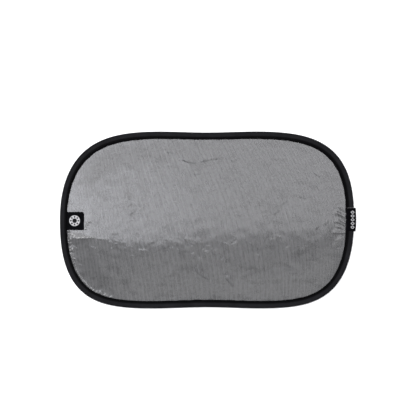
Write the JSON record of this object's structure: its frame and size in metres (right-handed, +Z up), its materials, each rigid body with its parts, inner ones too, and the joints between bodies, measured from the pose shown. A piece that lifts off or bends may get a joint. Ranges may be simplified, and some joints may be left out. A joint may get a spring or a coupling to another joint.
{
  "type": "car window sunshade",
  "caption": "Flat rounded sunshade of clinging film over mesh, held open by a sprung wire hoop in a sewn edge binding, for a car's side window.",
  "frame": {"origin": "centre of the bounding box, on the surface that the shade lies on", "axes": "+X along the long side towards the ribbon wrapped round the rim, +Y towards the other long side, +Z up out of the film side"},
  "size_m": [0.5031, 0.3006, 0.0077],
  "materials": {
    "binding_tape": "black knitted tape with a faint sheen",
    "film": "smoky see-through film with a soft gloss",
    "mesh": "fine grey warp-knitted mesh",
    "label_ribbon": "black woven ribbon with a plain white motif",
    "spring_steel": "bare round spring wire",
    "crimp_sleeve": "crimped sleeve"
  },
  "bodies": {
    "root": {"edge_binding": "binding_tape", "cling_film": "film", "mesh_fabric": "mesh", "side_label": "label_ribbon", "edge_label": "label_ribbon", "spring_wire": "spring_steel", "wire_ferrule": "crimp_sleeve"}
  },
  "joints": []
}
